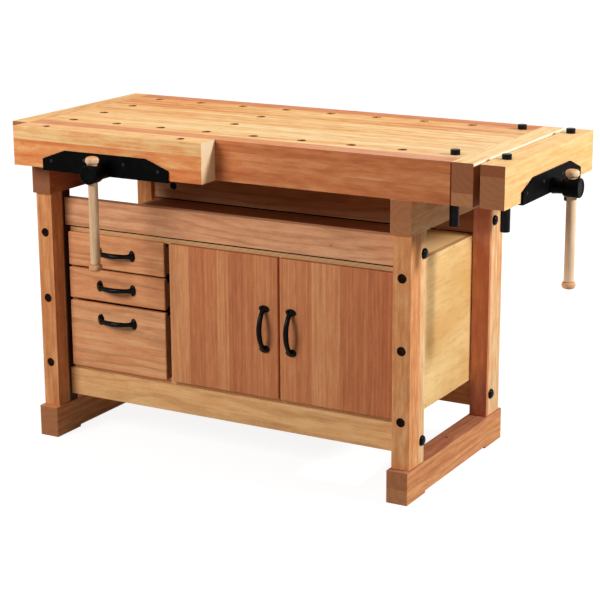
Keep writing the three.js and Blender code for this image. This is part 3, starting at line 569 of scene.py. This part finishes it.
# A turned piece: radius and height along a profile, spun about an axis.
# point = foot + height * axis + radius * (cos angle * side + sin angle * other side)
def turnedGrid(profile, foot, axis, around):
    side, other, along = (np.array(direction, float) for direction in axes[axis])
    radius, height = np.array(profile, float).T
    angle = np.arange(around) * 2 * np.pi / around
    circle = np.cos(angle)[:, None] * side + np.sin(angle)[:, None] * other
    inner = slice(1, -1)
    grid = height[inner, None, None] * along + radius[inner, None, None] * circle
    tips = height[[0, -1], None] * along
    points = np.concatenate([grid.reshape(-1, 3), tips]) + np.array(foot)
    return points, tubeFaces(len(radius) - 2, around)


def turnedPiece(name, profile, foot, axis, finish, body, around=64, sharp=40):
    points, faces = turnedGrid(profile, foot, axis, around)
    return putMesh(name, points, faces, finish, body, sharp)


# A quarter round from (r0, h0) to (r1, h1), bulging outwards
def roundOver(start, end, steps=6):
    turn = np.linspace(0, np.pi / 2, steps)
    (r0, h0), (r1, h1) = start, end
    if abs(r1) < abs(r0):
        return np.stack([r1 + (r0 - r1) * np.cos(turn), h0 + (h1 - h0) * np.sin(turn)], -1)
    return np.stack([r0 + (r1 - r0) * np.sin(turn), h1 + (h0 - h1) * np.cos(turn)], -1)


# Bench dogs: a plain steel bar with its ends rounded over
dogLook = {"round": 0.0016}
for nodeName in ("top_dog_front", "top_dog_rear", "jaw_dog_front", "jaw_dog_rear"):
    low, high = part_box(nodeName)
    radius, length, soft = (high.x - low.x) / 2, high.z - low.z, dogLook["round"]
    profile = np.concatenate([
        [(0, 0)], roundOver((radius - soft, 0), (radius, soft)),
        roundOver((radius, length - soft), (radius - soft, length)), [(0, length)]])
    foot = ((low.x + high.x) / 2, (low.y + high.y) / 2, low.z)
    dog = turnedPiece("dog_" + nodeName, profile, foot, "z", metals["dog_steel"], bodyOf(nodeName))
    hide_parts(nodeName)

# Handles: a straight shaft between two knobs. A knob's radius is a squared-off oval over its height, cut off
# where the shaft meets it, with a shallow dish in the end
handleLook = {"shaft": 0.013, "knobHeight": 0.02, "bulge": 2.7, "reach": 1.84, "start": 0.94, "steps": 26,
              "dish": 0.0012, "dishSteps": 5, "edge": 0.001, "lowShade": (246, 220, 200), "around": 72}
for vise, tone, seed in (("front", 0.55, 31), ("end", 0.95, 32)):
    nodeName = vise + "_handle"
    low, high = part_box(nodeName)
    middle = ((low.x + high.x) / 2, (low.y + high.y) / 2, 0)
    knob, tall, bulge = (high.x - low.x) / 2, handleLook["knobHeight"], handleLook["bulge"]
    share = np.linspace(0, 1, handleLook["steps"])
    oval = knob * (1 - np.abs(handleLook["reach"] * share - handleLook["start"]) ** bulge) ** (1 / bulge)
    across = np.linspace(0, 1, handleLook["dishSteps"])
    cup = np.stack([oval[0] * across, handleLook["dish"] * (1 - across) ** 2], -1)[:-1]
    barrel = np.concatenate([cup, np.stack([oval, share * tall], -1), [(handleLook["shaft"], tall)]])
    upper = (barrel * (1, -1) + (0, high.z))[::-1]
    profile = np.concatenate([barrel + (0, low.z), upper])
    lowKnob = (zAxis, low.z + tall + handleLook["edge"], low.z + tall)
    look = {**handleWood, "tones": [tone], "seed": seed, "middle": middle,
            "zones": [([lowKnob], "MULTIPLY", handleLook["lowShade"])]}
    handle = turnedPiece("turned_" + nodeName, profile, middle, "z", beechFinish("beech_" + nodeName, look),
                         bodyOf(nodeName), handleLook["around"])
    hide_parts(nodeName)
print("dogs and handles turned")

# Vise screws: a cast head with a neck, and a threaded spindle behind it. The spindle's radius is the core
# plus a blunt tooth that climbs one pitch in each turn
screwLook = {"collar": 0.0205, "neck": 0.0184, "fade": 3, "neckSteps": 12, "neckShort": 0.001, "head": 0.0255,
             "soft": 0.0032, "neckLength": 0.029, "shoulder": 0.008, "shoulderSteps": 9, "dish": 0.0016,
             "dishRim": 1.7, "dishFoot": 2.1, "hubAround": 72, "core": 0.0086, "crest": 0.01, "pitch": 0.005,
             "tooth": 0.38, "flank": 0.14, "around": 30, "perTurn": 8, "clear": 0.0003, "hole": 0.0133,
             "holeReach": 0.06, "holeAround": 48, "sharp": 50}
for vise, axis in (("front", "-y"), ("end", "x")):
    nodeName = vise + "_screw"
    low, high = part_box(nodeName)
    plateLow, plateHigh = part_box(vise + "_plate")
    side, other, along = (np.array(direction, float) for direction in axes[axis])
    centre = np.array((low + high) / 2)
    span = abs(float(along @ np.array(high - low)))
    outer = np.abs(along) @ np.array(low if vise == "front" else high)
    face = np.abs(along) @ np.array(plateLow if vise == "front" else plateHigh)
    foot = centre * (1 - np.abs(along)) + np.abs(along) * face
    reach = abs(outer - face)
    soft, clear, neckEnd, head = (screwLook[key] for key in ("soft", "clear", "neckLength", "head"))
    waist = np.linspace(0, 1, screwLook["neckSteps"])
    neckRadius = screwLook["neck"] + (screwLook["collar"] - screwLook["neck"]) * np.exp(-waist * screwLook["fade"])
    dished = reach - screwLook["dish"]
    profile = np.concatenate([
        [(0, clear)], np.stack([neckRadius, clear + waist * (neckEnd - screwLook["neckShort"])], -1),
        roundOver((screwLook["neck"], neckEnd), (head, neckEnd + screwLook["shoulder"]), screwLook["shoulderSteps"]),
        roundOver((head, reach - soft), (head - soft, reach)),
        [(head - screwLook["dishRim"] * soft, reach), (head - screwLook["dishFoot"] * soft, dished), (0, dished)]])
    hub = turnedPiece("hub_" + vise, profile, foot, axis, metals["hub_black"], None, screwLook["hubAround"])
    handleLow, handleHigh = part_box(vise + "_handle")
    hole, far = screwLook["hole"], screwLook["holeReach"]
    bar = [(0, -far), (hole, -far), (hole, far), (0, far)]
    barFoot = ((handleLow.x + handleHigh.x) / 2, (handleLow.y + handleHigh.y) / 2, foot[2])
    cutter = turnedPiece("cutter_" + vise, bar, barFoot, "z", metals["hub_black"], None, screwLook["holeAround"])
    drill = hub.modifiers.new("drill", "BOOLEAN")
    drill.object = cutter
    drill.operation = "DIFFERENCE"
    drill.solver = "EXACT"
    bpy.context.view_layer.update()
    bored = bpy.data.meshes.new_from_object(hub.evaluated_get(bpy.context.evaluated_depsgraph_get()))
    hub.modifiers.clear()
    hub.data = bored
    bpy.data.objects.remove(cutter)
    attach(hub, bodyOf(nodeName))
    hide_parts(nodeName)
    spindle = span - reach
    rings = int(spindle / screwLook["pitch"] * screwLook["perTurn"])
    height = np.linspace(-spindle, clear, rings)[:, None]
    angle = (np.arange(screwLook["around"]) * 2 * np.pi / screwLook["around"])[None, :]
    climb = np.mod(height / screwLook["pitch"] - angle / (2 * np.pi), 1.0)
    tooth = np.clip((screwLook["tooth"] - np.abs(climb - 0.5)) / screwLook["flank"], 0, 1)
    radius = screwLook["core"] + (screwLook["crest"] - screwLook["core"]) * tooth
    circle = np.cos(angle)[..., None] * side + np.sin(angle)[..., None] * other
    grid = height[..., None] * along + radius[..., None] * circle
    tips = np.array([[-spindle], [clear]]) * along
    points = np.concatenate([grid.reshape(-1, 3), tips]) + foot
    putMesh("spindle_" + vise, points, tubeFaces(rings, screwLook["around"]), metals["oiled_steel"],
            bodyOf(nodeName), screwLook["sharp"])
print("vise screws cut")

# Bolts: a low dome on a plain shank
boltLook = {"head": 0.014, "rim": 0.0022, "height": 0.009, "bulge": 0.8, "steps": 12, "shank": 0.0045,
            "clear": 0.0003, "around": 40, "sharp": 50}
for nodeName in [name for name in nodes if name.endswith("_bolt")]:
    low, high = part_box(nodeName)
    head, tall, shank, clear = (boltLook[key] for key in ("head", "height", "shank", "clear"))
    axis, seat = ("-x", low.x + tall) if nodeName.startswith("left") else ("x", high.x - tall)
    length = (high.x - low.x) - tall
    turn = np.linspace(0, np.pi / 2, boltLook["steps"])
    dome = np.stack([head * np.cos(turn) ** boltLook["bulge"],
                     boltLook["rim"] + (tall - boltLook["rim"]) * np.sin(turn)], -1)
    profile = np.concatenate([[(0, -length), (shank, -length), (shank, clear), (head, clear)], dome[:-1], [(0, tall)]])
    foot = (seat, (low.y + high.y) / 2, (low.z + high.z) / 2)
    bolt = turnedPiece("dome_" + nodeName, profile, foot, axis, metals["black_gloss"], bodyOf(nodeName),
                       boltLook["around"], boltLook["sharp"])
    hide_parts(nodeName)

# Bow pulls: a round section carried along half a squared-off oval. At each foot the section flares out
# like a trumpet into an oval rosette, wider across the bow, and it swells again in the middle of the bow
pullLook = {"reach": 0.0285, "corner": 1.75, "neck": 0.0054, "swell": 0.0018, "across": 0.016, "along": 0.01,
            "flare": 0.0036, "rim": 0.0018, "steps": 140, "around": 32, "sharp": 60}
for nodeName in [name for name in nodes if name.endswith("_pull")]:
    low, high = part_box(nodeName)
    upright = high.z - low.z > high.x - low.x
    lengthwise = np.array((0, 0, 1.0) if upright else (1.0, 0, 0))
    across = np.array((-1.0, 0, 0) if upright else (0, 0, 1.0))
    outward = np.array((0, -1.0, 0))
    half = max(high.z - low.z, high.x - low.x) / 2 - pullLook["along"]
    turn = np.linspace(0, np.pi, pullLook["steps"])
    power = 2 / pullLook["corner"]
    run = -half * np.sign(np.cos(turn)) * np.abs(np.cos(turn)) ** power
    lift = pullLook["reach"] * np.abs(np.sin(turn)) ** power
    path = run[:, None] * lengthwise + lift[:, None] * outward
    tangent = np.gradient(path, axis=0)
    tangent[0], tangent[-1] = outward, -outward
    tangent /= np.linalg.norm(tangent, axis=1)[:, None]
    normal = np.cross(across, tangent)
    stem = np.exp(-np.maximum(lift - pullLook["rim"], 0) / pullLook["flare"])
    swell = pullLook["swell"] * np.sin(turn) ** 2
    thin = pullLook["neck"] + (pullLook["along"] - pullLook["neck"]) * stem + swell
    wide = pullLook["neck"] + (pullLook["across"] - pullLook["neck"]) * stem + swell
    angle = np.arange(pullLook["around"]) * 2 * np.pi / pullLook["around"]
    inPlane = (thin[:, None] * np.cos(angle))[..., None] * normal[:, None, :]
    sideways = (wide[:, None] * np.sin(angle))[..., None] * across
    grid = path[:, None, :] + inPlane + sideways
    centre = np.array(((low.x + high.x) / 2, high.y, (low.z + high.z) / 2))
    points = np.concatenate([grid.reshape(-1, 3), path[[0, -1]]]) + centre
    pull = putMesh("bow_" + nodeName, points, tubeFaces(pullLook["steps"], pullLook["around"]),
                   metals["black_gloss"], bodyOf(nodeName), pullLook["sharp"])
    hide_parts(nodeName)
print("bolts and pulls made")

# Screws in the vise plates: a low head with a dimple. Heights along the head are shares of its height
plateScrewLook = {"radius": 0.0046, "height": 0.0014, "dimple": 0.0016, "sunk": 0.0004, "rim": 0.35,
                  "crown": (0.8, 0.85), "dimpleTop": 1.2, "dimpleFoot": 0.3, "around": 24,
                  "places": ((-0.172, 0.027), (-0.063, 0.037), (0.063, 0.037), (0.172, 0.027))}
radius, tall, dimple, sunk = (plateScrewLook[key] for key in ("radius", "height", "dimple", "sunk"))
crownIn, crownUp = plateScrewLook["crown"]
dimpleFoot = tall * plateScrewLook["dimpleFoot"]
plateScrew = [(0, -sunk), (radius, -sunk), (radius, tall * plateScrewLook["rim"]), (radius * crownIn, tall * crownUp),
              (dimple * plateScrewLook["dimpleTop"], tall), (dimple, dimpleFoot), (0, dimpleFoot)]
for vise, axis in (("front", "-y"), ("end", "x")):
    low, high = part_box(vise + "_plate")
    for number, (offset, rise) in enumerate(plateScrewLook["places"]):
        if vise == "front":
            foot = ((low.x + high.x) / 2 + offset, low.y, low.z + rise)
        else:
            foot = (high.x, (low.y + high.y) / 2 + offset, low.z + rise)
        turnedPiece(f"plate_screw_{vise}_{number}", plateScrew, foot, axis, metals["screw_grey"],
                    bodyOf(vise + "_plate"), plateScrewLook["around"])

# Plugs in the rails' nut holes, a little below the face
plugLook = {"radius": 0.0117, "thick": 0.004, "soft": 0.001, "inset": 0.07, "sunk": 0.0006, "around": 36}
radius, thick, soft = (plugLook[key] for key in ("radius", "thick", "soft"))
plug = np.concatenate([[(0, 0), (radius, 0)], roundOver((radius, thick - soft), (radius - soft, thick)), [(0, thick)]])
for place in ("front", "rear"):
    for level in ("upper", "lower"):
        low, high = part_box(f"{place}_{level}_rail")
        if place == "front":
            y, axis = high.y - thick - plugLook["sunk"], "y"
        else:
            y, axis = low.y + thick + plugLook["sunk"], "-y"
        for number, x in enumerate((low.x + plugLook["inset"], high.x - plugLook["inset"])):
            turnedPiece(f"plug_{place}_{level}_{number}", plug, (x, y, (low.z + high.z) / 2), axis,
                        metals["plug_black"], "bench", plugLook["around"])

# Painted shade: dark caps in the front legs' holes, a little below the face, stand for the shade deep inside the
# holes.
# Each has a rounded rim and a shallow dish. The dish is given as shares of the radius and its depth there
holeShadeCapLook = {"radius": 0.0123, "thick": 0.006, "soft": 0.0016, "sunk": 0.0016, "heights": (0.592, 0.4035, 0.215),
           "dish": ((0.6, 0.0004), (0.25, 0.0009), (0, 0.001)), "around": 40}
radius, thick, soft = (holeShadeCapLook[key] for key in ("radius", "thick", "soft"))
cap = np.concatenate([[(0, 0), (radius, 0)], roundOver((radius, thick - soft), (radius - soft, thick)),
                      [(radius * share, thick - deep) for share, deep in holeShadeCapLook["dish"]]])
for side in ("left", "right"):
    low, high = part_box(side + "_front_leg")
    for number, z in enumerate(holeShadeCapLook["heights"]):
        foot = ((low.x + high.x) / 2, low.y + holeShadeCapLook["sunk"] + thick, z)
        turnedPiece(f"leg_hole_shade_cap_{side}_{number}", cap, foot, "-y", metals["cap_brown"], "bench",
                    holeShadeCapLook["around"])

# Painted shade: black bars between the upper rails and the cabinet's top, each a plain bar between two corners, stand
# for the shadow in the gap there
gapShadeLook = {"clear": 0.0001, "front": 0.006, "deep": 0.012}
gapShadeFaces = [(0, 2, 3, 1), (4, 5, 7, 6), (0, 1, 5, 4), (2, 6, 7, 3), (0, 4, 6, 2), (1, 3, 7, 5)]
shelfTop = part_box("cabinet_top")[1].z
for place in ("front", "rear"):
    railLow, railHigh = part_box(place + "_upper_rail")
    gapShadeX = (railLow.x + gapShadeLook["clear"], railHigh.x - gapShadeLook["clear"])
    gapShadeY = (railLow.y + gapShadeLook["front"], railLow.y + gapShadeLook["front"] + gapShadeLook["deep"])
    gapShadeZ = (shelfTop + gapShadeLook["clear"], railLow.z - gapShadeLook["clear"])
    gapShadePoints = np.array([(x, y, z) for z in gapShadeZ for y in gapShadeY for x in gapShadeX])
    putMesh("rail_packing_" + place, gapShadePoints, gapShadeFaces, metals["plug_black"], "bench")

# Nail heads in the cabinet's side, a hair proud of the face
nailLook = {"radius": 0.0021, "deep": 0.001, "rim": 0.0001, "crown": 0.8, "proud": 0.0003, "around": 20,
            "places": ((-0.0005, 0.593), (0.1555, 0.593), (-0.0095, 0.198), (0.1505, 0.198))}
radius, deep, proud = (nailLook[key] for key in ("radius", "deep", "proud"))
nail = [(0, -deep), (radius, -deep), (radius, nailLook["rim"]), (radius * nailLook["crown"], proud), (0, proud)]
low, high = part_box("cabinet_right_side")
for number, (y, z) in enumerate(nailLook["places"]):
    turnedPiece(f"nail_{number}", nail, (high.x, y, z), "x", metals["oiled_steel"], "bench",
                nailLook["around"])

# Screws in the middle of the feet, a hair proud of the face
footScrewLook = {"radius": 0.0036, "deep": 0.002, "proud": 0.0002, "around": 24}
radius, deep, proud = (footScrewLook[key] for key in ("radius", "deep", "proud"))
footScrew = [(0, -deep), (radius, -deep), (radius, proud), (0, proud)]
for side in ("left", "right"):
    low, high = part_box(side + "_foot")
    foot = ((low.x + high.x) / 2, (low.y + high.y) / 2, high.z)
    turnedPiece("foot_screw_" + side, footScrew, foot, "z", metals["cap_brown"], "bench",
                footScrewLook["around"])
print("fasteners set")


# 1 for rays that the viewer sees or that a shiny surface sends on, 0 for the rest
def seenRays(tree):
    rays = wire(tree, "ShaderNodeLightPath").outputs
    bounced = sums(tree, "MAXIMUM", rays["Is Glossy Ray"], rays["Is Transmission Ray"])
    return sums(tree, "MAXIMUM", rays["Is Camera Ray"], bounced)


# Floor: plain and pale. For the camera and in reflections it is mostly its own white, with the shadow kept,
# and it grows a little whiter away from the bench
floorLook = {"size": 40.0, "drop": 0.0003, "paper": (176, 174, 172), "seenPaper": (232, 231, 230), "own": 0.7,
             "white": 1.27, "farWhite": 1.46, "near": 1.0, "far": 2.3}
white = (1, 1, 1, 1)
floorMaterial = bpy.data.materials.new("pale_floor")
tree = emptyTree(floorMaterial)
seen = seenRays(tree)
paperColour = blendColours(tree, seen, tint(*floorLook["paper"]), tint(*floorLook["seenPaper"]))
paper = wire(tree, "ShaderNodeBsdfDiffuse", {"Color": paperColour})
away = vectors(tree, "LENGTH", wire(tree, "ShaderNodeTexCoord").outputs["Object"])["Value"]
strength = spread(tree, away, floorLook["near"], floorLook["far"], floorLook["white"], floorLook["farWhite"])
glow = wire(tree, "ShaderNodeEmission", {"Color": white, "Strength": strength})
share = sums(tree, "MULTIPLY", seen, floorLook["own"])
both = wire(tree, "ShaderNodeMixShader", {0: share, 1: paper.outputs[0], 2: glow.outputs[0]})
wire(tree, "ShaderNodeOutputMaterial", {"Surface": both.outputs[0]})
half = floorLook["size"] / 2
floorPoints = np.array([(x, y, -floorLook["drop"]) for y in (-half, half) for x in (-half, half)])
floor = putMesh("studio_floor", floorPoints, [(0, 1, 3, 2)], floorMaterial, None)

# Room: white where it is seen, and dim as a light
roomLook = {"seen": 1.0, "light": 0.06}
scene = bpy.context.scene
world = bpy.data.worlds.new("studio")
scene.world = world
tree = emptyTree(world)
seen = seenRays(tree)
room = wire(tree, "ShaderNodeBackground", {"Color": white, "Strength": roomLook["light"]})
paper = wire(tree, "ShaderNodeBackground", {"Color": white, "Strength": roomLook["seen"]})
both = wire(tree, "ShaderNodeMixShader", {0: seen, 1: room.outputs[0], 2: paper.outputs[0]})
wire(tree, "ShaderNodeOutputWorld", {"Surface": both.outputs[0]})

# Light: soft lamps overhead, in front and behind, and a sharper one on the right
lampLook = {"key": {"place": (3.5, 0.55, 2.2), "aim": (0.35, 0.0, 0.75), "size": 0.5, "power": 112.0},
            "top": {"place": (-0.4, 0.5, 2.9), "aim": (-0.2, 0.1, 0.9), "size": 1.8, "power": 19.0},
            "fill": {"place": (-1.4, -2.7, 2.1), "aim": (-0.25, -0.2, 0.55), "size": 1.5, "power": 70.0},
            "back": {"place": (0.9, 3.2, 2.5), "aim": (0.0, 0.3, 0.5), "size": 1.4, "power": 24.0}}
for lampName, look in lampLook.items():
    lamp = bpy.data.lights.new(lampName, "AREA")
    lamp.energy = look["power"]
    lamp.shape = "DISK"
    lamp.size = look["size"]
    holder = linkPiece(lampName, lamp)
    holder.location = look["place"]
    towards = Vector(look["place"]) - Vector(look["aim"])
    holder.rotation_euler = towards.to_track_quat("Z", "Y").to_euler()

# Camera at the photograph's viewing angle, in a square frame
cameraLook = {"place": (2.275706, -4.012554, 1.666394), "yaw": 29.476, "pitch": 14.963, "roll": -0.273,
              "lens": 105.168, "sensor": 36}
lens = bpy.data.cameras.new("view")
lens.sensor_width = cameraLook["sensor"]
lens.sensor_height = cameraLook["sensor"]
lens.lens = cameraLook["lens"]
camera = linkPiece("view", lens)
camera.matrix_world = (
    Matrix.Translation(cameraLook["place"])
    @ Matrix.Rotation(math.radians(cameraLook["yaw"]), 4, "Z")
    @ Matrix.Rotation(math.radians(90 - cameraLook["pitch"]), 4, "X")
    @ Matrix.Rotation(math.radians(cameraLook["roll"]), 4, "Z"))
scene.camera = camera
scene.view_settings.view_transform = "Standard"
print("studio set")

bpy.context.view_layer.update()
